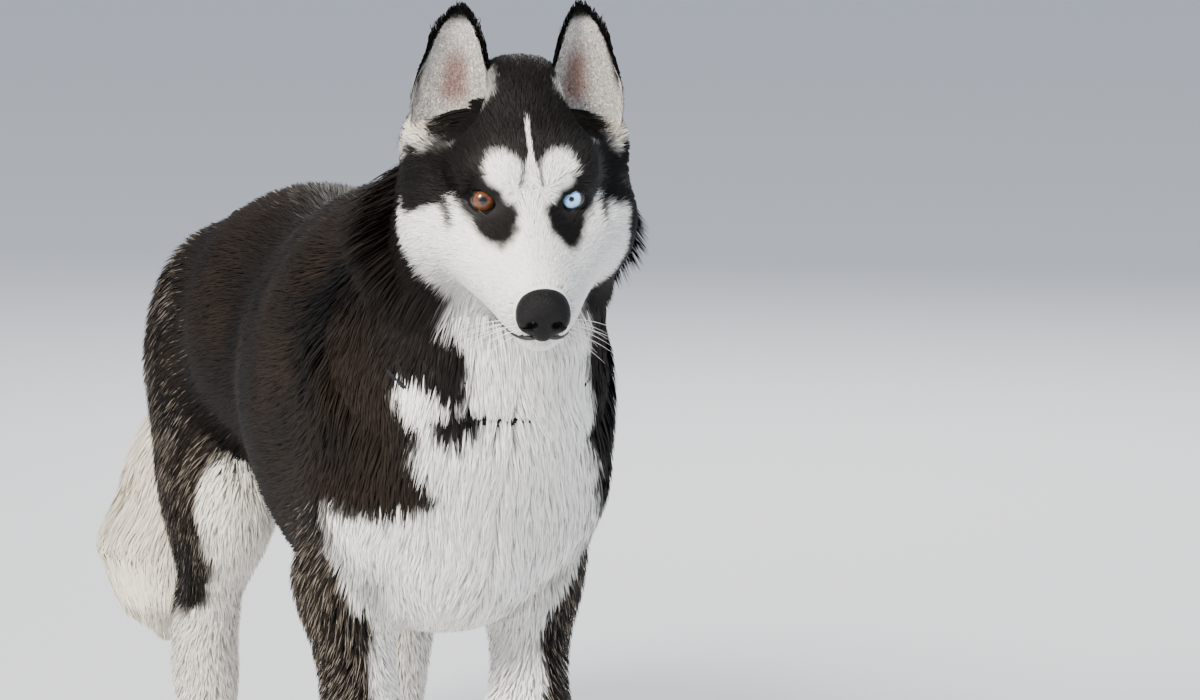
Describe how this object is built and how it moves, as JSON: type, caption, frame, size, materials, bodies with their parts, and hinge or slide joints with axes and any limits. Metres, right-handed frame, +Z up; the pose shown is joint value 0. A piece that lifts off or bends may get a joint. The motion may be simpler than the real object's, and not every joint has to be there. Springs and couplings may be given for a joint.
{
  "type": "dog",
  "caption": "Siberian husky standing still with black and white coat, one amber and one blue eye, head turned a little to its right and a thin dark collar.",
  "frame": {"origin": "middle of the dog's bounding box at the level of its soles", "axes": "+Z up, the dog faces -Y, its own left is +X"},
  "size_m": [0.2734, 0.9646, 0.7851],
  "materials": {
    "black_coat": "long soft black hair over a grey undercoat",
    "white_coat": "long soft white hair",
    "cream_coat": "long cream-white hair of the tail",
    "mixed_coat": "black and white hair in sharp fields",
    "nose_leather": "damp black pebbled nose leather",
    "eye_brown": "wet amber-brown eye",
    "eye_blue": "wet ice-blue eye",
    "collar_strap": "dark woven strap, matt"
  },
  "bodies": {
    "root": {"head": "mixed_coat", "nose": "nose_leather", "ear_left": "black_coat", "ear_right": "black_coat", "eye_left": "eye_blue", "eye_right": "eye_brown", "neck": "black_coat", "collar": "collar_strap", "tail_root": "black_coat", "tail_middle": "cream_coat", "tail_tip": "cream_coat", "chest": "mixed_coat", "rump": "black_coat", "barrel": "black_coat", "forepaw_left": "white_coat", "forearm_left": "mixed_coat", "upper_foreleg_left": "mixed_coat", "hindpaw_left": "white_coat", "rear_pastern_left": "white_coat", "lower_thigh_left": "white_coat", "thigh_left": "mixed_coat", "forepaw_right": "white_coat", "forearm_right": "mixed_coat", "upper_foreleg_right": "mixed_coat", "hindpaw_right": "white_coat", "rear_pastern_right": "white_coat", "lower_thigh_right": "white_coat", "thigh_right": "mixed_coat"}
  },
  "joints": []
}
